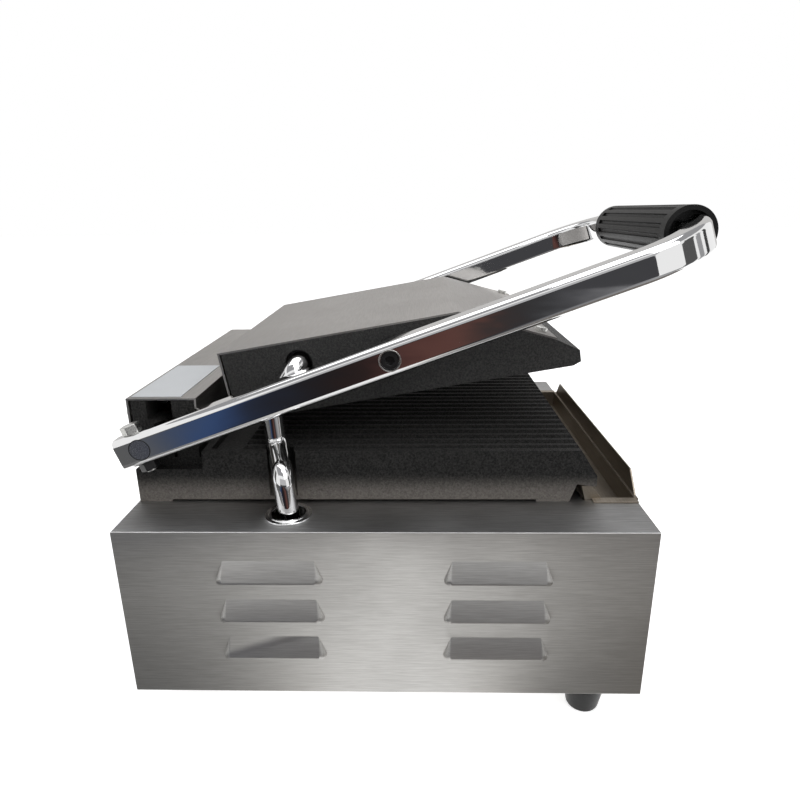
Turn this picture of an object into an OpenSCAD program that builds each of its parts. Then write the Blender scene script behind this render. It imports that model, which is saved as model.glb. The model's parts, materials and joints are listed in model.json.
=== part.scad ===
// Countertop contact grill with a ribbed lower plate, a floating ribbed upper plate and a U-shaped bar
// handle.
// X runs to the right of the user, Y to the rear and Z up. The rest position is a part-open lid.
// Heights of the cooking parts are measured from the deck, the top of the sheet-metal base.

/* [Base] */
// Width of the base, side to side
base_w = 305; // [290:1:330]
// Depth of the base, front to rear
base_d = 305; // [302:1:312]
// Height of the base without its feet
base_h = 109; // [104:1:125]
// Thickness of the base's sheet steel
sheet_t = 1.2; // [1:0.1:1.6]
// Width of the folded edges that take the screws
fold_w = 13; // [11:0.5:16]
// Fitting gap between sheet pieces that slide into each other
sheet_gap = 0.2; // [0.1:0.05:0.3]

/* [Louvres] */
// Length of one pressed louvre hood
louvre_len = 61; // [50:1:66]
// Height of one louvre hood
louvre_h = 13; // [11:0.5:16]
// How far a hood stands out from the side
louvre_out = 4.4; // [3:0.1:4.5]
// Distance between the rows
louvre_pitch = 25.3; // [22:0.1:28]
// Distance between the two columns, centre to centre
louvre_span = 130; // [120:1:140]
// Drop from the deck to the middle of the top row
louvre_drop = 24.7; // [22:0.1:30]
// Rows in each column
louvre_rows = 3; // [2:1:3]

/* [Feet] */
// Height of a rubber foot
foot_h = 24; // [18:1:30]
// Diameter of a foot where it meets the base
foot_top_d = 29; // [22:0.5:30]
// Diameter of a foot where it stands
foot_low_d = 19.5; // [14:0.5:20]
// Distance from the side to the centre of a front foot
foot_inset = 20; // [16:0.5:24]
// Distance from the side to the centre of a rear foot
rear_foot_inset = 42; // [36:0.5:50]
// Distance from the front or rear to the centre of a foot
foot_end = 28; // [24:1:34]

/* [Lower plate] */
// Distance from the base's side to the lower casting
plate_inset = 37.5; // [35:0.5:40]
// Height of the ribs' crests above the deck
rib_top = 33; // [31:0.5:36]
// Distance between two ribs
rib_pitch = 9; // [8.6:0.1:9.2]
// Height of a rib above the groove floor
rib_h = 4; // [3:0.1:4.5]
// Width of a rib at its crest
rib_crest = 2.8; // [2:0.1:3.4]
// Width of a rib at its foot
rib_foot = 5.6; // [4.6:0.1:6.4]
// Width of the raised rim beside the ribs
rim_w = 4.5; // [3.5:0.5:5]
// Thickness of the cast cooking wall under the grooves
cast_t = 9; // [8:0.5:10]
// Thickness of the cast side skirts
skirt_t = 7; // [6:0.5:8]

/* [Upper plate] */
// Room between an arm and the upper casting, where the conduit tube passes
cheek_gap = 13.8; // [13.6:0.1:14.2]
// Distance from the hinge to the upper casting's rear
hinge_clear = 53; // [52:0.5:56]
// Height of the cheeks above the cooking face
cheek_h = 42.6; // [41:0.2:45]
// Height of the cooking face's edge at the nose
nose_h = 8.8; // [7:0.2:11]
// Length of the sloped front that the cover's front sheet follows
slope_len = 54.8; // [50:0.2:60]
// Thickness of the cover's sheet steel
cover_t = 1.2; // [1:0.1:1.5]
// Nose-up tilt of the upper plate at rest, in degrees
rest_tilt = 9.56; // [8.5:0.02:10]

/* [Handle] */
// Slope of the handle's arms at rest, in degrees
arm_slope = 19.68; // [18.5:0.02:20.5]
// Thickness of the bar, side to side
bar_t = 16.4; // [14:0.1:17]
// Height of the bar
bar_h = 18.9; // [18:0.1:20]
// Rounding of the bar's corners
bar_r = 4.1; // [3:0.1:5]
// Distance from the base's side to the middle of an arm
arm_inset = 33; // [32.5:0.1:33.5]
// Distance from the upper plate's pivot to the middle of the crossbar
grip_ahead = 189.2; // [175:0.2:195]
// Bend radius at the handle's corners
bend_r = 48; // [44:1:54]
// Distance of the upper plate's pivot from the base's front
pivot_front = 147.74; // [146:0.02:149]
// Diameter of the grip
grip_d = 32; // [30:0.5:35]

/* [Hinge] */
// Diameter of the hinge shaft
shaft_d = 12; // [10:0.2:12.4]
// Height of the hinge shaft above the deck
hinge_h = 39.1; // [38.5:0.1:40]
// Distance of the hinge shaft from the base's rear
hinge_in = 11.5; // [10:0.5:13]
// Radial running gap round the shaft and the pivot screws
running_gap = 0.05; // [0.03:0.01:0.1]
// Diameter of the torsion springs' wire
spring_wire = 2.4; // [2:0.1:2.6]
// Turns of each torsion spring
spring_turns = 9; // [6:1:9]

/* [Conduit tube] */
// Outer diameter of the chromed tube that carries the upper leads
tube_d = 12.4; // [12:0.1:12.8]
// Wall of the tube
tube_wall = 1; // [0.8:0.1:1.5]
// Distance of the tube's lower leg from the base's side
tube_inset = 20.45; // [20:0.05:20.9]
// Distance of the deck collar from the base's rear
collar_in = 96.6; // [94:0.2:99]
// Length of the tube's lower leg below the deck at rest
tube_drop = 72; // [66:1:76]

/* [Drip tray] */
// Distance from the base's side to the tray's end wall
tray_inset = 39.5; // [38.5:0.5:44]
// Depth of the tray's floor below the deck
tray_depth = 14; // [10:0.5:18]
// Height of the tray's front lip above the deck
tray_lip = 13.5; // [11:0.5:16]
// Thickness of the tray's sheet
tray_t = 1; // [0.8:0.1:1.2]

/* [Controls] */
// Diameter of the thermostat knob
knob_d = 40; // [34:1:44]
// Depth of the knob
knob_h = 20; // [16:1:24]
// Distance of the knob to the right of the middle
knob_x = 62; // [50:1:80]
// Distance of the rocker switch to the left of the middle
switch_x = 70; // [50:1:80]
// Height of the controls' centre line above the base's bottom
controls_h = 46; // [42:1:52]
// Height of the cable gland above the base's bottom
gland_h = 40; // [36:1:60]
// Diameter of an indicator lamp's lens
lamp_d = 10; // [8:0.5:12]

/* [Hidden] */

$fn = 48;
// Overrun of every cut past the surface it cuts
cut = 1;
// Clearance between pieces that pass each other without touching
clear = 0.3;
// Clearance round a fastener's shank
bolt_clear = 0.3;

// Derived lengths that bent rods depend on are rounded to this step
snap_step = 0.01;
function snap(v) = round(v / snap_step) * snap_step;

// Main levels and planes
deck_z = foot_h + base_h;
half_w = base_w / 2;
plate_w = base_w - 2 * plate_inset;
tray_w = base_w - 2 * tray_inset;
arm_span = base_w - 2 * arm_inset;
upper_w = arm_span - bar_t - 2 * cheek_gap;
grip_len = arm_span - 2 * bend_r;
hinge_y = base_d - hinge_in;
collar_y = base_d - collar_in;
pivot_reach = snap((hinge_y - pivot_front) / cos(arm_slope));
reach = pivot_reach + grip_ahead;
lower_ribs = floor((plate_w - 2 * rim_w) / rib_pitch);
upper_ribs = floor((upper_w - 2 * rim_w) / rib_pitch);
crossbar_y = hinge_y - reach * cos(arm_slope);
gland_out = 21;
bbox_mid_y = (crossbar_y - grip_d / 2 + base_d + gland_out) / 2;

// Screws: metric sizes used over the whole grill
m4_d = 4;
m4_head_d = 7.6;
m4_head_h = 2.4;
m6_d = 6;
m6_flats = 10;
m6_head_h = 4;
m6_nut_h = 5;
m6_cap_d = 10;
m6_cap_h = 6;
m6_key = 5;
m6_key_depth = 3;

// Lower casting: places along the depth, heights above the deck
nose_y = 25.3;
nose_low = 10;
nose_high = 16.5;
crest_y = 35.8;
gutter_y = 37;
gutter_h = 11.4;
pad_front_y = 41;
pad_len = 20;
pad_relief = 1.4;
rear_rim_in = 42.6;
rear_rim_y = base_d - rear_rim_in;
rib_end_gap = 20.4;
rib_end_y = rear_rim_y - rib_end_gap;
casting_rear_y = base_d - sheet_t;
rear_deck_h = 26.8;
floor_h = rib_top - rib_h;
cavity_front = 66;
cavity_wall = 25.8;
cavity_rear = casting_rear_y - cavity_wall;

// Hinge posts of the lower casting and the cover over them
arm_inner = arm_span / 2 - bar_t / 2;
post_gap = 2.3;
post_outer = arm_inner - post_gap;
post_w = 16;
post_rear_w = 9;
front_post_in = 27.5;
front_post_y = hinge_y - front_post_in;
front_post_w = 13.5;
post_top = 63.2;
hub_r = 12;
cover_front_in = 29.1;
cover_front_y = hinge_y - cover_front_in;
cover_top = 64.6;
cover_drop_front = 28;
cover_drop_rear = 34;
cover_len = 42.2;
cover_rear_y = cover_front_y + cover_len;

// Upper casting: places in its own frame, from its nose rearwards and from its cooking face up
pivot_back = 109.2;
pivot_up = 28.65;
upper_len = pivot_back + pivot_reach - hinge_clear;
nose_bevel = 4.8;
nose_bevel_h = 1.8;
slope_start = 12.8;
slope_start_h = 17.3;
slope_end = slope_start + slope_len;
cheek_t = 7;
upper_floor = rib_h + cast_t;
boss_d = 18;
boss_len = 8;
spacer_d = 15;
inner_wall_h = 20;
cover_gap = 1;
tube_from_hinge = 98.3;
tube_back = pivot_back + pivot_reach - tube_from_hinge;
tube_up = 29.55;
tube_hole_d = 16.4;
rear_flange_h = 30;

// Pivot of the upper plate in the arms
pivot_y = hinge_y - pivot_reach * cos(arm_slope);
pivot_z = deck_z + hinge_h + pivot_reach * sin(arm_slope);
counterbore_d = 11.8;
counterbore_h = 7;

// Cross bolts of the shaft, and the arm's length behind the shaft
cross_back = 3.3;
arm_tail = 14.2;

// Heating elements
element_d = 7;
element_bend = 24;
clamp_t = 2;
insulation_t = 7;

// Conduit tube in its own frame: up along the lower leg, inward under the arm, up again, forward to the hole.
// The stretch under the arm rises seven in twenty-four and turns rearward by the same share, and the forward
// one rises four in three, so every corner falls on a round number.
leg_offset = 10.8;
leg_top = 25;
jog_rise_share = 7 / 24;
jog_back_share = 0.28;
jog_in_share = 0.96;
tube_gap_side = arm_inset + bar_t / 2 + cheek_gap / 2;
jog_len = 10 * snap((tube_gap_side - tube_inset) / jog_in_share / 10);
tube_side = tube_inset + jog_len * jog_in_share;
jog_back = jog_len * jog_back_share;
jog_turn = asin(jog_back_share);
jog_top = leg_top + jog_len * jog_rise_share;
stub_end = 72;
tube_bend = 9.6;

// The tube hole at rest and with the lid closed, measured from the collar's centre on the deck
closing_gap = 0.6;
closed_slope = asin((rib_top + closing_gap + pivot_up - hinge_h) / pivot_reach);
function hole_back(slope, tilt) = hinge_y - pivot_reach * cos(slope) + (tube_back - pivot_back) * cos(tilt)
    + (tube_up - pivot_up) * sin(tilt) - collar_y;
function hole_up(slope, tilt) = hinge_h + pivot_reach * sin(slope) - (tube_back - pivot_back) * sin(tilt)
    + (tube_up - pivot_up) * cos(tilt);
function hook_height(slope, tilt) =
    snap(sqrt(pow(hole_back(slope, tilt), 2) + pow(hole_up(slope, tilt), 2) - pow(leg_offset, 2)));
function leg_lean(slope, tilt) = atan2(hole_back(slope, tilt), hole_up(slope, tilt)) + atan2(leg_offset,
    hook_height(slope, tilt));
hook_up = hook_height(arm_slope, rest_tilt);
hook_foot = hook_up - (leg_offset + jog_back) * 4 / 3;
tube_lean = leg_lean(arm_slope, rest_tilt);
tube_relief = 2;
relief_floor = 3.8;
relief_wall = 3.5;
collar_d = 27.6;
collar_t = 1.2;
collar_bore = 19.8;
collar_neck = 22.4;
collar_neck_h = 7;
bush_len = 9;
bush_d = 19;
bush_flange_d = 24;
bush_flange_t = 2;

// Tray
tray_rear_y = 27;
tray_rear_top_y = 33.5;
tray_rear_h = 9.3;
tray_flange = 4.5;
tray_flat = 9;
tray_slant = 12;
runner_t = 1.2;
front_slot = tray_depth + 2.6;

// Controls
knob_z = foot_h + controls_h;
spindle_d = 6;
spindle_out = 13;
spindle_in = 14;
bushing_d = 10;
bushing_out = 3;
rocker_w = 13;
rocker_h = 21;
bezel_w = 18;
bezel_h = 27;
bezel_t = 2;
lamp_gap = 24;
lamp_out = 4;
lamp_body = 22;
gland_d = 20;
gland_x = 80;
gland_z = foot_h + gland_h;

// Grip
flutes = 16;
flute_d = 3;
grip_end = 8;
grip_recess = 6;
grip_recess_d = 26;

// Basic shapes
module place() {
  translate([0, -bbox_mid_y, 0]) children();
}

module both_sides() {
  children();
  mirror([1, 0, 0]) children();
}

module block(x0, x1, y0, y1, z0, z1) {
  translate([x0, y0, z0]) cube([x1 - x0, y1 - y0, z1 - z0]);
}

module rod_x(d, x0, x1) {
  translate([x0, 0, 0]) rotate([0, 90, 0]) cylinder(d = d, h = x1 - x0);
}

module rod_y(d, y0, y1) {
  translate([0, y1, 0]) rotate([90, 0, 0]) cylinder(d = d, h = y1 - y0);
}

module rod_z(d, z0, z1) {
  translate([0, 0, z0]) cylinder(d = d, h = z1 - z0);
}

// Extrudes an outline of depth and height across the width
module across(points, x0, x1) {
  translate([x0, 0, 0]) rotate([90, 0, 90]) linear_extrude(x1 - x0) polygon(points);
}

// Extrudes an outline of width and height along the depth
module along(points, y0, y1) {
  translate([0, y1, 0]) rotate([90, 0, 0]) linear_extrude(y1 - y0) polygon(points);
}

module hex_prism(flats, h) {
  cylinder(d = flats / cos(30), h = h, $fn = 6);
}

// A socket cap screw with its head's underside at zero, its shank pointing down
module cap_screw(len) {
  difference() {
    union() {
      cylinder(d = m6_cap_d, h = m6_cap_h);
      translate([0, 0, -len]) cylinder(d = m6_d, h = len);
    }
    translate([0, 0, m6_cap_h - m6_key_depth]) hex_prism(m6_key, m6_key_depth + cut);
  }
}

// A pan-head screw with its head's underside at zero, its shank pointing down
module pan_screw(len) {
  cylinder(d = m4_head_d, h = m4_head_h);
  translate([0, 0, -len]) cylinder(d = m4_d, h = len);
}

// Vectors for the bent rods
function unit(v) = v / norm(v);
function bend_angle(u, v) = acos(max(-1, min(1, u * v)));
function tangent_len(u, v, r) = r * tan(bend_angle(u, v) / 2);

module oriented(origin, ex, ey, ez) {
  multmatrix([[ex[0], ey[0], ez[0], origin[0]],
              [ex[1], ey[1], ez[1], origin[1]],
              [ex[2], ey[2], ez[2], origin[2]],
              [0, 0, 0, 1]]) children();
}

module straight_rod(a, b, d) {
  u = unit(b - a);
  side = abs(u[2]) < 0.9 ? [0, 0, 1] : [1, 0, 0];
  ex = unit(cross(side, u));
  oriented(a, ex, cross(u, ex), u) cylinder(d = d, h = norm(b - a));
}

// A round rod along a route of points, with arcs of radius r at its corners
module bent_rod(route, d, r) {
  last = len(route) - 1;
  for (i = [0:last - 1]) {
    u = unit(route[i + 1] - route[i]);
    before = i == 0 ? 0 : tangent_len(unit(route[i] - route[i - 1]), u, r);
    after = i == last - 1 ? 0 : tangent_len(u, unit(route[i + 2] - route[i + 1]), r);
    straight_rod(route[i] + u * before, route[i + 1] - u * after, d);
  }
  for (i = [1:last - 1]) {
    u = unit(route[i] - route[i - 1]);
    v = unit(route[i + 1] - route[i]);
    m = unit(v - u * (u * v));
    centre = route[i] - u * tangent_len(u, v, r) + m * r;
    edge = 3 * (r + d);
    oriented(centre, -m, u, cross(u, m)) intersection() {
      rotate_extrude() translate([r, 0]) circle(d = d);
      translate([0, 0, -d]) linear_extrude(2 * d)
          polygon([[0, 0], [edge, 0], [edge * (u * v), edge * norm(cross(u, v))]]);
    }
  }
}

// Base
louvre_band = louvre_h / 2;
louvre_mouth = 1.5;
louvre_wall = 1.4;

// Outline of a hood: distance out of the side against height
function hood_outline(out, grow) = [[-sheet_t - grow, louvre_band + grow / 2], [0, louvre_band + grow / 2],
    [out, -louvre_band + louvre_mouth], [out, -louvre_band - grow], [-sheet_t - grow, -louvre_band - grow]];

module hood_solid(out, len, grow) {
  outline = hood_outline(out, grow);
  translate([0, len / 2, 0]) rotate([90, 0, 0]) linear_extrude(len) polygon(outline);
  for (end = [-1, 1])
    translate([0, end * len / 2, 0])
      rotate_extrude(angle = 360) polygon([for (p = outline) [max(p[0], 0), p[1]]]);
}

module hood_places() {
  for (row = [0:louvre_rows - 1])
    for (column = [-1, 1])
      translate([half_w, base_d / 2 + column * louvre_span / 2, deck_z - louvre_drop - row * louvre_pitch])
          children();
}

module hood() {
  intersection() {
    hood_solid(louvre_out, louvre_len - 2 * louvre_out, 0);
    block(0, louvre_out + cut, -louvre_len, louvre_len, -louvre_band, louvre_band + cut);
  }
}

module hood_hollow() {
  inner = louvre_out - louvre_wall;
  translate([0, 0, -louvre_wall]) intersection() {
    hood_solid(inner, louvre_len - 2 * louvre_out, 0);
    block(-cut, inner + cut, -louvre_len, louvre_len, -louvre_band, louvre_band);
  }
  block(-sheet_t - cut, cut / 2, -louvre_len / 2 + louvre_out, louvre_len / 2 - louvre_out, -louvre_band, 0);
}

module channel_section() {
  inner = half_w - sheet_t;
  both_sides() {
    block(inner, half_w, 0, base_d, foot_h, deck_z);
    block(half_w - fold_w, half_w - sheet_t / 2, sheet_t + sheet_gap, base_d - sheet_t - sheet_gap,
          foot_h + sheet_t, foot_h + 2 * sheet_t);
  }
  block(-half_w, half_w, 0, base_d, deck_z - sheet_t, deck_z);
}

module base_housing() place() color("silver") difference() {
  union() {
    channel_section();
    both_sides() hood_places() hood();
  }
  both_sides() hood_places() hood_hollow();
  block(-tray_w / 2 - sheet_gap, tray_w / 2 + sheet_gap, -cut, tray_rear_top_y - sheet_t,
      deck_z - sheet_t - cut, deck_z + cut);
  translate([-half_w + tube_inset, collar_y, 0])
      rod_z(collar_neck + 2 * sheet_gap, deck_z - sheet_t - cut, deck_z + cut);
  plate_bolt_places() rod_z(m6_d + 2 * bolt_clear, deck_z - sheet_t - cut, deck_z + cut);
  element_drops() rod_z(element_d + 2 * clear, deck_z - sheet_t - cut, deck_z + cut);
  translate([bulb_x, bulb_front - capillary_bend, 0])
      rod_z(capillary_hole, deck_z - sheet_t - cut, deck_z + cut);
  side_screw_places() rod_z(m4_d + 2 * bolt_clear, foot_h + sheet_t - cut, foot_h + 2 * sheet_t + cut);
}

module side_screw_places() {
  for (x = [-1, 1])
    for (share = [0.22, 0.5, 0.78])
      translate([x * (half_w - fold_w / 2 - sheet_t / 2), base_d * share, 0]) children();
}

module end_screw_places() {
  for (x_share = [-0.5, 0.5])
    for (y = [sheet_t + fold_w / 2, base_d - sheet_t - fold_w / 2])
      translate([x_share * base_w / 2, y, 0]) children();
}

panel_half = half_w - sheet_t - sheet_gap;

module panel_blank(y0, y1, fold_y0, fold_y1) {
  block(-panel_half, panel_half, y0, y1, foot_h, deck_z - sheet_t);
  block(-panel_half + fold_w, panel_half - fold_w, fold_y0, fold_y1, foot_h + sheet_t, foot_h + 2 * sheet_t);
}

module front_panel() place() color("silver") difference() {
  panel_blank(0, sheet_t, 0, sheet_t + fold_w);
  block(-tray_w / 2 - sheet_gap, tray_w / 2 + sheet_gap, -cut, sheet_t + cut, deck_z - front_slot,
      deck_z + cut);
  translate([knob_x, 0, knob_z]) rod_y(bushing_d + 2 * clear, -cut, sheet_t + cut);
  block(-switch_x - rocker_w / 2 - clear - bezel_t / 2, -switch_x + rocker_w / 2 + clear + bezel_t / 2,
      -cut, sheet_t + cut,
        knob_z - rocker_h / 2 - clear - bezel_t / 2, knob_z + rocker_h / 2 + clear + bezel_t / 2);
  for (x = lamp_places) translate([x, 0, knob_z]) rod_y(lamp_d + 2 * clear, -cut, sheet_t + cut);
  end_screw_places() rod_z(m4_d + 2 * bolt_clear, foot_h, foot_h + 2 * sheet_t + cut);
}

module rear_panel() place() color("silver") difference() {
  panel_blank(base_d - sheet_t, base_d, base_d - sheet_t - fold_w, base_d);
  translate([gland_x, 0, gland_z]) rod_y(gland_d + 2 * clear, base_d - sheet_t - cut, base_d + cut);
  end_screw_places() rod_z(m4_d + 2 * bolt_clear, foot_h, foot_h + 2 * sheet_t + cut);
}

module bottom_plate() place() color("silver") difference() {
  block(-panel_half, panel_half, sheet_t + sheet_gap, base_d - sheet_t - sheet_gap, foot_h, foot_h + sheet_t);
  side_screw_places() rod_z(m4_d + 2 * bolt_clear, foot_h - cut, foot_h + sheet_t + cut);
  end_screw_places() rod_z(m4_d + 2 * bolt_clear, foot_h - cut, foot_h + sheet_t + cut);
  foot_places() rod_z(m4_d + 2 * bolt_clear, foot_h - cut, foot_h + sheet_t + cut);
  for (i = [-4:4])
    for (y = [base_d * 0.4, base_d * 0.6])
      translate([i * vent_pitch, y, 0])
          block(-vent_w / 2, vent_w / 2, -vent_len / 2, vent_len / 2, foot_h - cut, foot_h + sheet_t + cut);
}

vent_pitch = 20;
vent_w = 4;
vent_len = 40;

module foot_places() {
  for (x = [-1, 1]) {
    translate([x * (half_w - foot_inset), foot_end, 0]) children();
    translate([x * (half_w - rear_foot_inset), base_d - foot_end, 0]) children();
  }
}

foot_screw_d = 12;
foot_screw_depth = 9;

module rubber_feet() place() color("dimgray") foot_places() difference() {
  cylinder(d1 = foot_low_d, d2 = foot_top_d, h = foot_h);
  translate([0, 0, -cut]) cylinder(d = foot_screw_d, h = foot_screw_depth + cut);
  translate([0, 0, -cut]) cylinder(d = m4_d + 2 * bolt_clear, h = foot_h + 2 * cut);
}

module foot_screws() place() color("gainsboro") foot_places()
  translate([0, 0, foot_screw_depth]) mirror([0, 0, 1]) pan_screw(foot_h - foot_screw_depth + 3 * sheet_t);

module panel_screws() place() color("gainsboro") {
  side_screw_places() translate([0, 0, foot_h]) mirror([0, 0, 1]) pan_screw(4 * sheet_t);
  end_screw_places() translate([0, 0, foot_h]) mirror([0, 0, 1]) pan_screw(4 * sheet_t);
}

// Lower casting
module plate_bolt_places() {
  for (x_share = [-0.37, 0.37])
    for (y = [pad_front_y + pad_len / 2, casting_rear_y - pad_len / 2])
      translate([x_share * plate_w, y, 0]) children();
}

bolt_depth = 12;
lug_r = 11;

module lower_profile() {
  across([[nose_y, deck_z + nose_low], [nose_y, deck_z + nose_high], [crest_y, deck_z + rib_top],
      [rear_rim_y, deck_z + rib_top],
          [rear_rim_y, deck_z + rear_deck_h], [casting_rear_y, deck_z + rear_deck_h],
              [casting_rear_y, deck_z],
          [casting_rear_y - pad_len, deck_z], [casting_rear_y - pad_len, deck_z + pad_relief],
              [pad_front_y + pad_len, deck_z + pad_relief],
          [pad_front_y + pad_len, deck_z], [pad_front_y, deck_z], [gutter_y, deck_z + gutter_h],
              [nose_y + 2 * sheet_t, deck_z + nose_low]],
         -plate_w / 2, plate_w / 2);
}

module rib(y0, y1) {
  along([[-rib_foot / 2, -cut / 4], [-rib_crest / 2, rib_h - clear], [rib_crest / 2, rib_h - clear],
      [rib_foot / 2, -cut / 4]], y0, y1);
}

groove_half = plate_w / 2 - rim_w;

module hinge_post() {
  translate([0, 0, deck_z]) {
    across([[casting_rear_y - post_rear_w, floor_h / 2], [casting_rear_y - post_rear_w, post_top],
        [casting_rear_y, post_top], [casting_rear_y, floor_h / 2]],
           post_outer - post_w, post_outer);
    across([[front_post_y, floor_h / 2], [front_post_y, post_top], [front_post_y + front_post_w, post_top],
        [front_post_y + front_post_w, floor_h / 2]],
           post_outer - post_w, post_outer);
    translate([0, hinge_y, hinge_h]) rod_x(2 * hub_r, post_outer - post_w, post_outer);
    block(post_outer - post_w, post_outer, hinge_y - hub_r, casting_rear_y, floor_h / 2, hinge_h);
  }
}

module lower_plate() place() color([0.16, 0.16, 0.17]) difference() {
  union() {
    difference() {
      lower_profile();
      block(-groove_half, groove_half, nose_y - cut, rear_rim_y - rim_w, deck_z + floor_h,
          deck_z + rib_top + cut);
    }
    intersection() {
      translate([0, 0, deck_z + floor_h])
        for (i = [0:lower_ribs - 1])
          translate([(i - (lower_ribs - 1) / 2) * rib_pitch, 0, 0]) rib(nose_y, rib_end_y);
      across([[nose_y, deck_z], [nose_y, deck_z + nose_high], [crest_y, deck_z + rib_top],
          [rib_end_y - rib_h, deck_z + rib_top], [rib_end_y, deck_z + floor_h - cut],
              [rib_end_y, deck_z]], -plate_w / 2, plate_w / 2);
    }
    both_sides() hinge_post();
  }
  difference() {
    block(-plate_w / 2 + skirt_t, plate_w / 2 - skirt_t, cavity_front, cavity_rear, deck_z - cut,
        deck_z + floor_h - cast_t);
    tube_slot(relief_wall, -2 * cut, floor_h);
  }
  both_sides() block(post_outer, half_w, rear_rim_y + clear, base_d + cut, deck_z + arm_pocket_h,
      deck_z + rib_top + cut);
  translate([0, hinge_y, deck_z + hinge_h]) rod_x(shaft_d + 2 * running_gap, -half_w, half_w);
  plate_bolt_places() rod_z(m6_d, deck_z - cut, deck_z + bolt_depth);
  clamp_places() rod_z(m6_d - 1, deck_z, deck_z + floor_h - cast_t / 2);
  both_sides() translate([post_outer - post_w / 2, 0, deck_z + cover_screw_h])
      rod_y(m4_d, casting_rear_y - post_rear_w + clear, casting_rear_y + cut);
  tube_slot(0, relief_floor, rib_top + cut);
}

// Room under the arm's tail and the cross bolt's nut as they swing
tail_sweep = max(norm([arm_tail, bar_h / 2]),
    norm([cross_back + m6_flats / 2 / cos(30), bar_h / 2 + m6_nut_h]));
arm_pocket_h = hinge_h - tail_sweep - 2 * clear;
cover_screw_h = 54;

module plate_bolts() place() color("gainsboro") plate_bolt_places()
  translate([0, 0, deck_z - sheet_t - m6_head_h]) {
    hex_prism(m6_flats, m6_head_h);
    cylinder(d = m6_d, h = m6_head_h + sheet_t + bolt_depth - clear);
  }

// Heating element under the lower plate
element_front = 88;
element_rear = rear_rim_y - clear;
element_z = deck_z + floor_h - cast_t - element_d / 2;
drop_bend = 10;

module element_drops() {
  for (x = [-1, 1]) translate([x * 3 * element_bend, element_rear, 0]) children();
}

function element_route(front, rear, z) = [[-3 * element_bend, rear, z], [-3 * element_bend, front, z],
    [-element_bend, front, z],
                                          [-element_bend, rear - 2 * element_bend, z],
                                              [element_bend, rear - 2 * element_bend, z],
                                          [element_bend, front, z], [3 * element_bend, front, z],
                                              [3 * element_bend, rear, z]];

module lower_element() place() color("slategray") {
  route = element_route(element_front, element_rear, element_z);
  low = [[-3 * element_bend, element_rear, deck_z - 3 * element_d]];
  high = [[3 * element_bend, element_rear, deck_z - 3 * element_d]];
  bent_rod(concat(low, route, high), element_d, drop_bend);
}

// Places of the studs that press the element's clamp plate
clamp_y_front = 104;
clamp_rear_in = 62;
clamp_y_rear = element_rear - clamp_rear_in;

module clamp_places() {
  for (y = [clamp_y_front, clamp_y_rear]) translate([0, y, 0]) children();
}

clamp_half_w = 90;
clamp_z = element_z - element_d / 2 - clamp_t;

module lower_clamp_plate() place() color("silver") difference() {
  block(-clamp_half_w, clamp_half_w, element_front - 2 * element_d, element_rear - 4 * element_d, clamp_z,
      clamp_z + clamp_t);
  clamp_places() rod_z(m6_d, clamp_z - cut, clamp_z + clamp_t + cut);
  bulb_slot();
}

module bulb_slot() {
  block(bulb_x - bulb_d, bulb_x + bulb_d, bulb_front - 3 * bulb_d, bulb_front + cut, clamp_z - cut,
      clamp_z + clamp_t + cut);
}

module lower_insulation() place() color("whitesmoke") difference() {
  block(-clamp_half_w, clamp_half_w, element_front - 2 * element_d, element_rear - 4 * element_d, deck_z,
      clamp_z);
  clamp_places() rod_z(m6_cap_d + 2 * clear, deck_z - cut, clamp_z + cut);
  block(bulb_x - bulb_d, bulb_x + bulb_d, bulb_front - 3 * bulb_d, bulb_front + cut, deck_z - cut,
      clamp_z + cut);
}

module clamp_screws() place() color("gainsboro") clamp_places()
  translate([0, 0, clamp_z]) mirror([0, 0, 1]) {
    cylinder(d = m6_cap_d, h = m6_head_h);
    translate([0, 0, -clamp_t - element_d - cast_t / 2 + clear])
        cylinder(d = m6_d - 1, h = clamp_t + element_d + cast_t / 2 - clear);
  }

// Thermostat with its bulb and capillary
bulb_d = 6;
bulb_end_gap = 16;
bulb_x = 0;
bulb_front = 132;
capillary_d = 1.8;
capillary_bend = 9;
capillary_hole = 8;
thermostat_w = 34;
thermostat_depth = 30;

module thermostat_bulb() place() color("sienna") {
  bulb_z = deck_z + floor_h - cast_t - bulb_d / 2;
  drop_y = bulb_front - capillary_bend;
  run_z = deck_z - 2 * capillary_bend;
  translate([bulb_x, 0, bulb_z])
      rod_y(bulb_d, bulb_front + capillary_d, clamp_y_rear + bulb_end_gap - 2 * m6_cap_d);
  bent_rod([[bulb_x, bulb_front + capillary_d, bulb_z], [bulb_x, drop_y, bulb_z], [bulb_x, drop_y, run_z],
      [knob_x, drop_y, run_z],
            [knob_x, sheet_t + thermostat_depth + 2 * capillary_bend, run_z],
            [knob_x, sheet_t + thermostat_depth + 2 * capillary_bend, knob_z],
                [knob_x, sheet_t + thermostat_depth, knob_z]],
           capillary_d, capillary_bend / 2);
}

module thermostat() place() color("lightslategray") translate([knob_x, 0, knob_z]) difference() {
  union() {
    block(-thermostat_w / 2, thermostat_w / 2, sheet_t, sheet_t + thermostat_depth, -thermostat_w / 2,
        thermostat_w / 2);
    rod_y(bushing_d, -bushing_out, sheet_t + clear);
  }
  rod_y(spindle_d + 2 * running_gap, -bushing_out - cut, spindle_in + clear);
}

module thermostat_spindle() place() color("gainsboro") translate([knob_x, 0, knob_z]) difference() {
  rod_y(spindle_d, -spindle_out, spindle_in);
  block(-spindle_d, spindle_d, -spindle_out - cut, -bushing_out - clear, spindle_d / 4, spindle_d);
}

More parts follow.
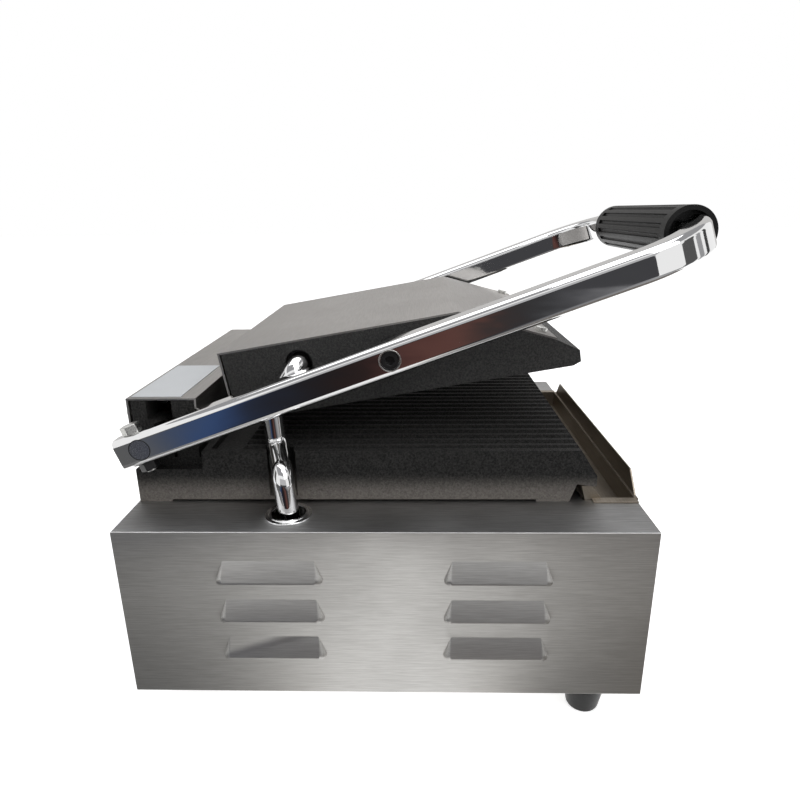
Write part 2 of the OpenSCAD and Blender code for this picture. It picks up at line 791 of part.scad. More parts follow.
module thermostat_knob() place() color([0.1, 0.1, 0.1]) translate([knob_x, 0, knob_z]) difference() {
  union() {
    translate([0, -bushing_out - clear, 0]) rotate([90, 0, 0])
        cylinder(d1 = knob_d, d2 = knob_d - 4 * sheet_t, h = knob_h / 3);
    rod_y(knob_d - 5 * sheet_t, -bushing_out - clear - knob_h, -bushing_out - clear);
    block(-knob_d / 9, knob_d / 9, -bushing_out - clear - knob_h - sheet_t, -bushing_out - clear,
        -knob_d / 2 + 2 * sheet_t, knob_d / 2 - 2 * sheet_t);
  }
  difference() {
    rod_y(spindle_d + 2 * running_gap, -spindle_out - clear, cut);
    block(-spindle_d, spindle_d, -spindle_out - clear - cut, 2 * cut, spindle_d / 4 + running_gap, spindle_d);
  }
}

// Rocker switch: body with bezel, and the rocker that tips on two short pins
rocker_pin_y = 2;
rocker_pin_d = 3;
rocker_pin_out = 0.7;
rocker_face = 5.5;
rocker_back = 6;
rocker_tip = 10;

module switch_body() place() color([0.12, 0.12, 0.12]) translate([-switch_x, 0, knob_z]) difference() {
  union() {
    block(-bezel_w / 2, bezel_w / 2, -bezel_t, 0, -bezel_h / 2, bezel_h / 2);
    block(-rocker_w / 2 - bezel_t / 2, rocker_w / 2 + bezel_t / 2, -bezel_t, rocker_h,
        -rocker_h / 2 - bezel_t / 2, rocker_h / 2 + bezel_t / 2);
  }
  block(-rocker_w / 2, rocker_w / 2, -bezel_t - cut, rocker_pin_y + rocker_h / 2, -rocker_h / 2,
      rocker_h / 2);
  translate([0, rocker_pin_y, 0])
      rod_x(rocker_pin_d + 2 * running_gap, -rocker_w / 2 - rocker_pin_out - running_gap,
      rocker_w / 2 + rocker_pin_out + running_gap);
}

module power_rocker() place() color([0.75, 0.08, 0.06]) translate([-switch_x, rocker_pin_y, knob_z])
    rotate([rocker_tip, 0, 0]) {
  intersection() {
    rod_x(rocker_h - 2 * clear, -rocker_w / 2 + clear, rocker_w / 2 - clear);
    block(-rocker_w, rocker_w, -rocker_face, rocker_back, -rocker_h, rocker_h);
  }
  rod_x(rocker_pin_d, -rocker_w / 2 - rocker_pin_out, rocker_w / 2 + rocker_pin_out);
}

lamp_places = [-lamp_gap / 2, lamp_gap / 2];

module lamp(x) {
  translate([x, 0, knob_z]) {
    rod_y(lamp_d, -bezel_t, lamp_body);
    rod_y(lamp_d + 2 * bezel_t, -bezel_t, 0);
    intersection() {
      translate([0, -bezel_t + lamp_d / 2 - lamp_out, 0]) sphere(d = lamp_d);
      rod_y(lamp_d + cut, -bezel_t - lamp_out, -bezel_t + clear);
    }
  }
}

module power_lamp() place() color([0.2, 0.6, 0.25]) lamp(lamp_places[0]);

module heat_lamp() place() color([0.9, 0.45, 0.1]) lamp(lamp_places[1]);

// Mains entry
terminal_w = 40;
terminal_d = 22;
terminal_h = 16;

module terminal_block() place() color("ivory")
    translate([gland_x - terminal_w, base_d * 0.72, foot_h + sheet_t]) difference() {
  block(0, terminal_w, 0, terminal_d, 0, terminal_h);
  for (i = [0:2]) translate([terminal_w * (i + 0.5) / 3, terminal_d / 2, 0])
      rod_z(m6_d, terminal_h / 2, terminal_h + cut);
}

cord_hole = 8;

module cable_gland() place() color([0.08, 0.08, 0.08]) translate([gland_x, base_d, gland_z]) difference() {
  union() {
    rod_y(gland_d, -4 * m6_head_h, gland_out / 2);
    translate([0, m6_head_h, 0]) rotate([90, 0, 0]) hex_prism(gland_d * 1.25, m6_head_h);
    translate([0, gland_out, 0]) rotate([90, 0, 0])
        cylinder(d1 = gland_d * 0.75, d2 = gland_d, h = gland_out / 2);
  }
  rod_y(cord_hole, -5 * m6_head_h, gland_out + cut);
}

module gland_nut() place() color([0.08, 0.08, 0.08]) translate([gland_x, base_d - sheet_t, gland_z])
    difference() {
  rotate([90, 0, 0]) hex_prism(gland_d * 1.25, m6_nut_h);
  rod_y(gland_d, -m6_nut_h - cut, cut);
}

module tube_collar() place() color("silver") translate([-half_w + tube_inset, collar_y, deck_z])
    difference() {
  union() {
    cylinder(d = collar_d, h = collar_t);
    translate([0, 0, collar_t]) cylinder(d1 = collar_neck + collar_t, d2 = collar_neck, h = collar_t / 2);
    translate([0, 0, -collar_neck_h]) cylinder(d = collar_neck, h = collar_neck_h + cut / 2);
  }
  translate([0, 0, -collar_neck_h - cut])
      cylinder(d = collar_bore, h = collar_neck_h + 2 * collar_t + 2 * cut);
}

// Hinge
cover_half_w = post_outer;

module hinge_cover() place() color("silver") difference() {
  union() {
    block(-cover_half_w, cover_half_w, cover_front_y, cover_rear_y, deck_z + cover_top - cover_t,
        deck_z + cover_top);
    block(-cover_half_w, cover_half_w, cover_front_y, cover_front_y + cover_t,
        deck_z + cover_top - cover_drop_front, deck_z + cover_top);
    block(-cover_half_w, cover_half_w, cover_rear_y - cover_t, cover_rear_y,
        deck_z + cover_top - cover_drop_rear, deck_z + cover_top);
  }
  both_sides() translate([post_outer - post_w / 2, 0, deck_z + cover_screw_h])
      rod_y(m4_d + 2 * bolt_clear, cover_rear_y - cover_t - cut, cover_rear_y + cut);
}

// Distance from the cover's rear wall to the cast post behind it
cover_standoff = cover_rear_y - cover_t - casting_rear_y;

module hinge_cover_screws() place() color("gainsboro") both_sides()
  translate([post_outer - post_w / 2, cover_rear_y, deck_z + cover_screw_h]) rotate([-90, 0, 0])
      difference() {
    union() {
      pan_screw(cover_t + cover_standoff + post_rear_w / 2);
      translate([0, 0, -cover_t - cover_standoff + running_gap])
          cylinder(d = m4_head_d, h = cover_standoff - running_gap);
    }
    translate([0, 0, m4_head_h / 2]) cross_recess();
  }

module cross_recess() {
  for (turn = [0, 90])
    rotate([0, 0, turn]) translate([-m4_head_d / 4, -m4_d / 10, 0])
        cube([m4_head_d / 2, m4_d / 5, m4_head_h]);
}

label_len = 76;
label_w = 30;
label_t = 0.4;

module label_plate() place() color("white")
  block(-cover_half_w + 2 * sheet_t, -cover_half_w + 2 * sheet_t + label_len,
      cover_rear_y - cover_t - sheet_t - label_w, cover_rear_y - cover_t - sheet_t,
        deck_z + cover_top, deck_z + cover_top + label_t);

// Torsion springs: one unbroken wire each, a straight leg and then the coil
coil_r = 9.2;
spring_pitch = 3.2;
spring_gap = spring_pitch - spring_wire;
leg_len = 17;
spring_start = post_outer - post_w - spring_wire / 2 - clear;
spring_len = spring_turns * spring_pitch;
ring_sides = 6;
turn_rings = 8;
echo(spring_gap_between_turns = spring_gap);

// Route of the wire, from the leg's end to the last turn, seen in the shaft's frame
function coil_point(turn) = [spring_start - turn * spring_pitch, -coil_r * sin(360 * turn),
    -coil_r * cos(360 * turn)];
spring_route = concat([[spring_start, -leg_len, -coil_r], [spring_start, -spring_wire, -coil_r]],
                      [for (i = [0:spring_turns * turn_rings]) coil_point(i / turn_rings)]);

// Sweeps a round section with few sides along a route
function route_dir(route, i) = unit(route[min(i + 1, len(route) - 1)] - route[max(i - 1, 0)]);
function ring_side(dir) = unit(cross([1, 0.02, 0.03], dir));
function sweep_points(route, d, sides) = [for (i = [0:len(route) - 1])
    let (w = route_dir(route, i), u = ring_side(w), v = cross(w, u))
  for (k = [0:sides - 1]) route[i] + d / 2 * (cos(360 * k / sides) * u + sin(360 * k / sides) * v)];
function sweep_faces(rings, sides) = concat(
  [for (i = [0:rings - 2]) for (k = [0:sides - 1]) let (n = (k + 1) % sides) for (f = [0, 1])
    f == 0 ? [i * sides + k, i * sides + n, (i + 1) * sides + n] : [i * sides + k, (i + 1) * sides + n,
        (i + 1) * sides + k]],
  [for (k = [1:sides - 2]) [0, k + 1, k]],
  [for (k = [1:sides - 2]) [(rings - 1) * sides, (rings - 1) * sides + k, (rings - 1) * sides + k + 1]]);

module wire(route, d, sides) {
  polyhedron(points = sweep_points(route, d, sides),
      faces = [for (f = sweep_faces(len(route), sides)) [f[2], f[1], f[0]]]);
}

module torsion_springs() place() color("darkgoldenrod")
  both_sides() translate([0, hinge_y, deck_z + hinge_h]) wire(spring_route, spring_wire, ring_sides);

cup_wall = 1.2;
cup_depth = 3;
cup_len = 10;
cup_face = spring_start - spring_len + cup_depth - spring_wire / 2 - clear;

module spring_cups() place() color("gray") both_sides() arm_place() difference() {
  union() {
    rod_x(2 * coil_r + spring_wire + 2 * clear + 2 * cup_wall, cup_face - cup_len, cup_face);
  }
  rod_x(2 * coil_r + spring_wire + 2 * clear, cup_face - cup_depth, cup_face + cut);
  rod_x(shaft_d, cup_face - cup_len - cut, cup_face + cut);
}

// Handle: everything below is built in the arms' frame, with the shaft at its origin
module arm_place() {
  translate([0, hinge_y, deck_z + hinge_h]) rotate([-arm_slope, 0, 0]) children();
}

module bar_section() {
  square([bar_t - 2 * bar_r, bar_h], center = true);
  square([bar_t, bar_h - 2 * bar_r], center = true);
  for (x = [-1, 1]) for (y = [-1, 1]) translate([x * (bar_t / 2 - bar_r), y * (bar_h / 2 - bar_r)])
      circle(r = bar_r);
}

module handle_half() {
  translate([arm_span / 2, arm_tail, 0]) rotate([90, 0, 0]) linear_extrude(arm_tail + reach - bend_r)
      bar_section();
  translate([arm_span / 2 - bend_r, -reach + bend_r, 0]) rotate([0, 0, -90]) rotate_extrude(angle = 90)
      translate([bend_r, 0]) bar_section();
  translate([0, -reach, 0]) rotate([90, 0, 90]) linear_extrude(arm_span / 2 - bend_r) bar_section();
}

module handle_frame() place() color([0.85, 0.86, 0.88]) arm_place() difference() {
  both_sides() handle_half();
  rod_x(shaft_d, -half_w, half_w);
  both_sides() {
    translate([arm_span / 2, cross_back, 0]) rod_z(m6_d + 2 * running_gap, -bar_h, bar_h);
    translate([0, -pivot_reach, 0]) rod_x(m6_d + 2 * running_gap, arm_inner - cut, half_w);
    translate([0, -pivot_reach, 0]) rod_x(counterbore_d, arm_inner + bar_t - counterbore_h, half_w);
  }
}

module grip() place() color([0.1, 0.1, 0.1]) arm_place() translate([0, -reach, 0]) difference() {
  rod_x(grip_d, -grip_len / 2, grip_len / 2);
  for (i = [0:flutes - 1]) rotate([360 * (i + 0.5) / flutes, 0, 0]) translate([0, 0, grip_d / 2])
      rod_x(flute_d, -grip_len / 2 + grip_end, grip_len / 2 - grip_end);
  both_sides() rod_x(grip_recess_d, grip_len / 2 - grip_recess, grip_len / 2 + cut);
  rotate([90, 0, 90]) translate([0, 0, -grip_len / 2 - cut]) linear_extrude(grip_len + 2 * cut) bar_section();
}

shaft_len = arm_span + bar_t;

module hinge_shaft() place() color("gray") arm_place() difference() {
  rod_x(shaft_d, -shaft_len / 2, shaft_len / 2);
  both_sides() translate([arm_span / 2, cross_back, 0]) rod_z(m6_d + 2 * running_gap, -bar_h, bar_h);
}

module shaft_bolts() place() color("gainsboro") arm_place() both_sides()
    translate([arm_span / 2, cross_back, 0]) {
  translate([0, 0, bar_h / 2]) hex_prism(m6_flats, m6_head_h + sheet_t);
  rod_z(m6_d, -bar_h / 2 - m6_nut_h - sheet_t, bar_h / 2 + sheet_t);
}

module shaft_nuts() place() color([0.12, 0.12, 0.12]) arm_place() both_sides()
    translate([arm_span / 2, cross_back, -bar_h / 2 - m6_nut_h]) difference() {
  hex_prism(m6_flats, m6_nut_h);
  translate([0, 0, -cut]) cylinder(d = m6_d, h = m6_nut_h + 2 * cut);
}

// Upper plate: built in its own frame, nose at zero and cooking face at zero
module upper_place() {
  translate([0, pivot_y, pivot_z]) rotate([-rest_tilt, 0, 0]) translate([0, -pivot_back, -pivot_up])
      children();
}

upper_half = upper_w / 2;

module upper_profile(x0, x1, top) {
  across([[nose_bevel, 0], [0, nose_bevel_h], [0, nose_h], [slope_start, slope_start_h], [slope_end, top],
      [upper_len, top], [upper_len, 0]], x0, x1);
}

module upper_plate() place() color([0.16, 0.16, 0.17]) upper_place() difference() {
  union() {
    difference() {
      upper_profile(-upper_half, upper_half, cheek_h);
      upper_hollow();
    }
    both_sides() translate([0, pivot_back, pivot_up])
        rod_x(boss_d, upper_half - cheek_t - boss_len, upper_half - cheek_t / 2);
  }
  difference() {
    block(-upper_half + rim_w, upper_half - rim_w, -cut, upper_len - 2 * rim_w, -cut, rib_h);
    for (i = [0:upper_ribs - 1])
      translate([(i - (upper_ribs - 1) / 2) * rib_pitch, 0, rib_h]) mirror([0, 0, 1])
          rib(-2 * cut, upper_len - 4 * rim_w);
  }
  both_sides() translate([0, pivot_back, pivot_up])
      rod_x(m6_d, upper_half - cheek_t - boss_len - cut, upper_half + cut);
  translate([0, tube_back, tube_up]) rod_x(tube_hole_d, -upper_half - cut, -upper_half + cheek_t + cut);
  upper_clamp_places() rod_z(m6_d - 1, upper_floor - cast_t / 2, upper_floor + cut);
  cover_screw_places() rod_z(m4_d, -cover_screw_depth, cut);
}

// Room inside the upper casting, open at the top and under the cover's front slope
module upper_hollow() {
  across([[slope_start + 2 * cheek_t, upper_floor], [slope_start + 2 * cheek_t, cheek_h + cut],
      [upper_len - cheek_t, cheek_h + cut], [upper_len - cheek_t, upper_floor]],
         -upper_half + cheek_t, upper_half - cheek_t);
}

slope_angle = atan((cheek_h - slope_start_h) / slope_len);
cover_screw_depth = 8;
cover_screw_up = 8;
cover_screw_side = 12;
rear_screw_up = 24;

// The two screws on the sloped front sheet, with Z out of the sheet
module cover_screw_places() {
  for (x = [-1, 1])
    translate([x * (upper_half - cover_screw_side), slope_start, slope_start_h])
        rotate([slope_angle, 0, 0]) translate([0, cover_screw_up, 0]) children();
}

module rear_screw_places() {
  for (x = [-0.6, 0.6])
    translate([x * upper_half, upper_len + cover_gap + cover_t, rear_screw_up]) rotate([-90, 0, 0])
        children();
}

module upper_cover() place() color("silver") upper_place() difference() {
  top = cheek_h + cover_t;
  across([[slope_start, slope_start_h], [slope_end, cheek_h], [upper_len + cover_gap, cheek_h],
      [upper_len + cover_gap, top - rear_flange_h],
          [upper_len + cover_gap + cover_t, top - rear_flange_h], [upper_len + cover_gap + cover_t, top],
          [slope_end - cover_t * tan(slope_angle / 2), top],
              [slope_start - cover_t * sin(slope_angle), slope_start_h + cover_t * cos(slope_angle)]],
         -upper_half, upper_half);
  cover_screw_places() rod_z(m4_d + 2 * bolt_clear, -cut, cover_t + cut);
  rear_screw_places() rod_z(m4_d + 2 * bolt_clear, -cover_t - cut, cut);
}

module cover_screws() place() color("gainsboro") upper_place() {
  cover_screw_places() translate([0, 0, cover_t]) difference() {
    pan_screw(cover_t + cover_screw_depth - clear);
    translate([0, 0, m4_head_h / 2]) cross_recess();
  }
  rear_screw_places() difference() {
    union() {
      pan_screw(cover_t + cover_gap);
      translate([0, 0, -cover_t - cover_gap]) cylinder(d = m4_head_d, h = cover_gap);
    }
    translate([0, 0, m4_head_h / 2]) cross_recess();
  }
}

spacer_len = arm_inner - upper_half - clear;

module pivot_screws() place() color([0.1, 0.1, 0.1]) upper_place() both_sides()
  translate([arm_inner + bar_t - counterbore_h + running_gap, pivot_back, pivot_up]) rotate([0, 90, 0])
    cap_screw(bar_t - counterbore_h + spacer_len + clear + cheek_t + boss_len - clear);

module pivot_spacers() place() color([0.12, 0.12, 0.12]) upper_place() both_sides() difference() {
  translate([0, pivot_back, pivot_up]) rod_x(spacer_d, upper_half, upper_half + spacer_len);
  translate([0, pivot_back, pivot_up]) rod_x(m6_d, upper_half - cut, upper_half + spacer_len + cut);
}

upper_element_front = 44;
upper_element_in = 15;
upper_element_rear = upper_len - upper_element_in;
upper_bend = 20;

module upper_element() place() color("slategray") upper_place() {
  z = upper_floor + element_d / 2;
  up = upper_floor + 4 * element_d - clear;
  low = upper_element_rear - 2 * upper_bend;
  bent_rod([[-3 * upper_bend, upper_element_rear - upper_bend, up],
      [-3 * upper_bend, upper_element_rear - upper_bend, z], [-3 * upper_bend, upper_element_front, z],
            [-upper_bend, upper_element_front, z], [-upper_bend, low, z], [upper_bend, low, z],
                [upper_bend, upper_element_front, z],
            [3 * upper_bend, upper_element_front, z], [3 * upper_bend, upper_element_rear - upper_bend, z],
                [3 * upper_bend, upper_element_rear - upper_bend, up]],
           element_d, drop_bend);
}

module upper_clamp_places() {
  for (y = [upper_len * 0.36, upper_len * 0.62]) translate([0, y, 0]) children();
}

upper_clamp_half = 70;
upper_clamp_z = upper_floor + element_d;

module upper_clamp_plate() place() color("silver") upper_place() difference() {
  block(-upper_clamp_half, upper_clamp_half, upper_element_front - element_d,
      upper_element_rear - upper_bend - 2 * element_d, upper_clamp_z, upper_clamp_z + clamp_t);
  upper_clamp_places() rod_z(m6_d - 1, upper_clamp_z - cut, upper_clamp_z + clamp_t + cut);
}

module upper_insulation() place() color("whitesmoke") upper_place() difference() {
  block(-upper_clamp_half, upper_clamp_half, upper_element_front - clear,
      upper_element_rear - upper_bend - 2 * element_d,
        upper_clamp_z + clamp_t, upper_clamp_z + clamp_t + insulation_t);
  upper_clamp_places() rod_z(m6_cap_d + 2 * clear, upper_clamp_z,
      upper_clamp_z + clamp_t + insulation_t + cut);
}

module upper_clamp_screws() place() color("gainsboro") upper_place() upper_clamp_places() {
  rod_z(m6_cap_d, upper_clamp_z + clamp_t, upper_clamp_z + clamp_t + m6_head_h);
  rod_z(m6_d - 1, upper_floor - cast_t / 2 + clear, upper_clamp_z + clamp_t + cut);
}

module upper_terminals() place() color("ivory") upper_place()
  for (x = [-1, 1])
    translate([x * 3 * upper_bend, upper_element_rear - upper_bend, 0]) difference() {
      block(-element_d, element_d, -element_d, element_d, upper_floor + 3 * element_d, cheek_h - clear);
      rod_z(element_d, upper_floor + 2 * element_d, upper_floor + 4 * element_d);
    }

module tube_bush() place() color("goldenrod") upper_place() translate([-upper_half, tube_back, tube_up])
    difference() {
  union() {
    rod_x(bush_flange_d, cheek_t, cheek_t + bush_flange_t);
    rod_x(bush_d, cheek_t, cheek_t + bush_len);
  }
  rod_x(tube_d + 2 * running_gap, cheek_t - cut, cheek_t + bush_len + cut);
}

// Conduit tube: its frame has the collar at its origin, Z along the lower leg and X as the base
module tube_place() {
  translate([-half_w, collar_y, deck_z]) rotate([-tube_lean, 0, 0]) children();
}

// Upright in the middle of the tube, where its lower and its upper route meet
upright_mid = snap((jog_top + hook_foot) / 2);

function lower_route() = [[-jog_len, 0, -tube_drop], [-jog_len, 0, leg_top], [0, 0, jog_top],
    [0, 0, upright_mid]];
function upper_route() = [[tube_side, jog_back, upright_mid], [tube_side, jog_back, hook_foot],
                          [tube_side, -leg_offset, hook_up], [stub_end, -leg_offset, hook_up]];

// Frame of the lower route: its origin lies under the upright, and the leg lies at minus the jog's length
module jog_place() {
  translate([tube_side, jog_back, 0]) rotate([0, 0, jog_turn]) children();
}

// Slot in the lower casting's edge that the tube dips into when the lid is closed, grown by a wall round it
module tube_slot(grow, z0, z1) {
  r = tube_d / 2 + tube_relief + grow;
  translate([-half_w, collar_y + cut, deck_z]) jog_place() translate([0, 0, z0]) {
    cylinder(r = r, h = z1 - z0);
    translate([-jog_len, -r, 0]) cube([jog_len, 2 * r, z1 - z0]);
  }
}

module conduit_tube() place() color([0.85, 0.86, 0.88]) tube_place() {
  difference() {
    union() {
      jog_place() bent_rod(lower_route(), tube_d, tube_bend);
      bent_rod(upper_route(), tube_d, tube_bend);
    }
    jog_place() straight_rod([-jog_len, 0, -tube_drop - cut], [-jog_len, 0, leg_top / 2],
        tube_d - 2 * tube_wall);
    straight_rod([stub_end - tube_d, -leg_offset, hook_up], [stub_end + cut, -leg_offset, hook_up],
        tube_d - 2 * tube_wall);
  }
}

// Drip tray in its well at the front of the deck, and the runner under it
module tray_section() {
  translate([0, 0, deck_z])
    across([[tray_t, -tray_depth + tray_t], [tray_rear_y - tray_t, -tray_depth + tray_t],
        [tray_rear_top_y - tray_t, tray_rear_h], [tray_rear_top_y, tray_rear_h],
            [tray_rear_y, -tray_depth], [0, -tray_depth], [0, tray_t], [tray_t, tray_t]],
                -tray_w / 2 + sheet_gap, tray_w / 2 - sheet_gap);
}

module tray_front() {
  low = tray_w / 2 + tray_flange - tray_flat;
  high = low - tray_slant;
  along([[-low, deck_z - sheet_t], [-low, deck_z + tray_t], [-high, deck_z + tray_lip],
      [high, deck_z + tray_lip], [low, deck_z + tray_t], [low, deck_z - sheet_t]],
        -tray_t - sheet_gap, -sheet_gap);
  block(-tray_w / 2 + sheet_gap, tray_w / 2 - sheet_gap, -tray_t - sheet_gap, tray_t, deck_z - tray_depth,
      deck_z + tray_t);
}

module tray_end() {
  translate([0, 0, deck_z]) {
    across([[0, -tray_depth], [0, tray_t], [tray_rear_y - 2 * tray_flat / 3, tray_t],
        [tray_rear_top_y - 2 * tray_flat / 3, tray_rear_h], [tray_rear_top_y, tray_rear_h],
            [tray_rear_y, -tray_depth]], tray_w / 2 - sheet_gap - tray_t, tray_w / 2 - sheet_gap);
    block(tray_w / 2 - sheet_gap - tray_t, tray_w / 2 + tray_flange, 0, tray_rear_y, 0, tray_t);
  }
}

module drip_tray() place() color([0.45, 0.42, 0.38]) {
  tray_section();
  tray_front();
  both_sides() tray_end();
}

module tray_runner() place() color("silver") {
  low = deck_z - tray_depth - runner_t;
  half = tray_w / 2 - 2 * tray_flange;
  block(-half, half, sheet_t, tray_rear_y, low, low + runner_t);
  both_sides() {
    block(half - runner_t, half, sheet_t, tray_rear_y, low - tray_flange, low);
    block(tray_w / 2 + sheet_gap + clear, tray_w / 2 + sheet_gap + clear + runner_t, sheet_t, tray_rear_y,
        low, deck_z - sheet_t);
    block(half - runner_t, tray_w / 2 + sheet_gap + clear + runner_t, sheet_t, tray_rear_y, low,
        low + runner_t);
  }
}

base_housing();
front_panel();
rear_panel();
bottom_plate();
rubber_feet();
foot_screws();
panel_screws();
lower_plate();
plate_bolts();
lower_element();
lower_clamp_plate();
lower_insulation();
clamp_screws();
thermostat();
thermostat_spindle();
thermostat_bulb();
switch_body();
power_lamp();
heat_lamp();
terminal_block();
cable_gland();
gland_nut();
tube_collar();
hinge_cover();
hinge_cover_screws();
label_plate();
torsion_springs();
tray_runner();
drip_tray();
handle_frame();
grip();
hinge_shaft();
shaft_bolts();
shaft_nuts();
spring_cups();
upper_plate();
upper_cover();
cover_screws();
pivot_screws();
pivot_spacers();
upper_element();
upper_clamp_plate();
upper_insulation();
upper_clamp_screws();
upper_terminals();
tube_bush();
conduit_tube();
thermostat_knob();
power_rocker();
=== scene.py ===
# Looks of a countertop contact grill, made around its packed construction model. All lengths are in metres.
import bmesh
import bpy
import json
import math
from mathutils import Matrix, Vector


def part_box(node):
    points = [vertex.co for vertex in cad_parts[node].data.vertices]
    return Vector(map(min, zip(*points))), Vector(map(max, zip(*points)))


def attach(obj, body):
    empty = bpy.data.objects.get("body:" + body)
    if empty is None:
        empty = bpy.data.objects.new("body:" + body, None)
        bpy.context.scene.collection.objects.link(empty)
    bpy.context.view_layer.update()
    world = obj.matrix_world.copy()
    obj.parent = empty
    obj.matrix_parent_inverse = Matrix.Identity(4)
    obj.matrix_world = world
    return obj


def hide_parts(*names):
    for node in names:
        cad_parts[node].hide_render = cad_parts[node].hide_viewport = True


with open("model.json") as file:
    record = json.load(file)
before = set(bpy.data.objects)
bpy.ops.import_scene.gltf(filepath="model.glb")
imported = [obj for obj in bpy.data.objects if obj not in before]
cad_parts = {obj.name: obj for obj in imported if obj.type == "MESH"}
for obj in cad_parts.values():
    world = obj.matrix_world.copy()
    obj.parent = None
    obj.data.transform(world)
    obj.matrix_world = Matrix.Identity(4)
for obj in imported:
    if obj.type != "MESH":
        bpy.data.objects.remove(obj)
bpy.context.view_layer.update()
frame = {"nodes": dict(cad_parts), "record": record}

nodes = frame["nodes"]
record = frame["record"]
body_of = {node: body for body, members in record["behaviour"]["bodies"].items() for node in members}
slot_of = {part["node"]: part["material_slot"] for part in record["subparts"]}

for leftover in ("Cube", "Camera", "Light"):
    if leftover in bpy.data.objects:
        bpy.data.objects.remove(bpy.data.objects[leftover])


# Finishes
def new_finish(name, colour, roughness, metallic=0.0, **sockets):
    material = bpy.data.materials.new(name)
    material.use_nodes = True
    shader = material.node_tree.nodes["Principled BSDF"]
    shader.inputs["Base Color"].default_value = (*colour, 1.0)
    shader.inputs["Roughness"].default_value = roughness
    shader.inputs["Metallic"].default_value = metallic
    for socket, value in sockets.items():
        shader.inputs[socket.replace("_", " ")].default_value = value
    return material


def node_in(material, kind, **values):
    node = material.node_tree.nodes.new(kind)
    for name, value in values.items():
        label = name.replace("_", " ")
        if label in node.inputs:
            node.inputs[label].default_value = value
        else:
            setattr(node, name, value)
    return node


def join(material, output, target):
    material.node_tree.links.new(output, target)


def shader_of(material):
    return material.node_tree.nodes["Principled BSDF"]


def pattern(material, stretch, scale, detail=3.0, roughness=0.6):
    """A noise on object coordinates; stretch scales its three directions."""
    place = node_in(material, "ShaderNodeTexCoord")
    turn = node_in(material, "ShaderNodeMapping", Scale=stretch)
    join(material, place.outputs["Object"], turn.inputs["Vector"])
    noise = node_in(material, "ShaderNodeTexNoise", Scale=scale, Detail=detail, Roughness=roughness)
    join(material, turn.outputs["Vector"], noise.inputs["Vector"])
    return noise.outputs["Fac"]


def two_tones(material, fac, low_colour, high_colour, low, high):
    """A ramp between two colours by a pattern."""
    ramp = node_in(material, "ShaderNodeValToRGB")
    for stop, spot, colour in zip(ramp.color_ramp.elements, (low, high), (low_colour, high_colour)):
        stop.position = spot
        stop.color = (*colour, 1.0)
    join(material, fac, ramp.inputs["Fac"])
    return ramp


def tint(material, fac, low_colour, high_colour, low=0.3, high=0.7):
    """Runs the base colour between two colours by a pattern."""
    ramp = two_tones(material, fac, low_colour, high_colour, low, high)
    join(material, ramp.outputs["Color"], shader_of(material).inputs["Base Color"])


def set_range(spread, *values):
    """Sets what a Map Range node takes in and gives out: from min, from max, to min, to max."""
    for name, value in zip(("From Min", "From Max", "To Min", "To Max"), values):
        spread.inputs[name].default_value = value


def dull(material, fac, least, most, low=0.3, high=0.7):
    """Runs the roughness between two values by a pattern."""
    spread = node_in(material, "ShaderNodeMapRange")
    set_range(spread, low, high, least, most)
    join(material, fac, spread.inputs["Value"])
    join(material, spread.outputs["Result"], shader_of(material).inputs["Roughness"])


def relief(material, fac, depth, strength=1.0, under=None):
    """Adds a bump of a depth in metres, over another bump where one is given."""
    bump = node_in(material, "ShaderNodeBump", Strength=strength, Distance=depth)
    join(material, fac, bump.inputs["Height"])
    if under is not None:
        join(material, under.outputs["Normal"], bump.inputs["Normal"])
    join(material, bump.outputs["Normal"], shader_of(material).inputs["Normal"])
    return bump


# Stretches of a pattern: long along one direction, or the same all ways
STREAK = 0.03
ALONG_Y = (1.0, STREAK, 1.0)
ALONG_X = (STREAK, 1.0, 1.0)
EVEN = (1.0, 1.0, 1.0)
SKIN_TONES = ((0.002, 0.002, 0.002), (0.044, 0.043, 0.041))
# Lighter brownish tones of painted bounce light from the deck, for the low band of a casting
BOUNCE_LIGHT_TONES = ((0.09, 0.082, 0.074), (0.24, 0.22, 0.20))


def brushed(name, low_colour, high_colour, grain, least, most, lay_strength=0.7, depth=0.000008):
    """Sheet steel with fine streaks along one direction and clouds of a duller gloss."""
    steel = new_finish(name, high_colour, most, 1.0, Anisotropic=lay_strength)
    lay = node_in(steel, "ShaderNodeTangent", direction_type="UV_MAP", uv_map="grain")
    join(steel, lay.outputs["Tangent"], shader_of(steel).inputs["Tangent"])
    streak = pattern(steel, grain, 2200.0, 3.0, roughness=0.6)
    cloud = pattern(steel, EVEN, 14.0, 2.0)
    tint(steel, streak, low_colour, high_colour, 0.34, 0.66)
    dull(steel, cloud, least, most)
    relief(steel, streak, depth, 0.5)
    return steel


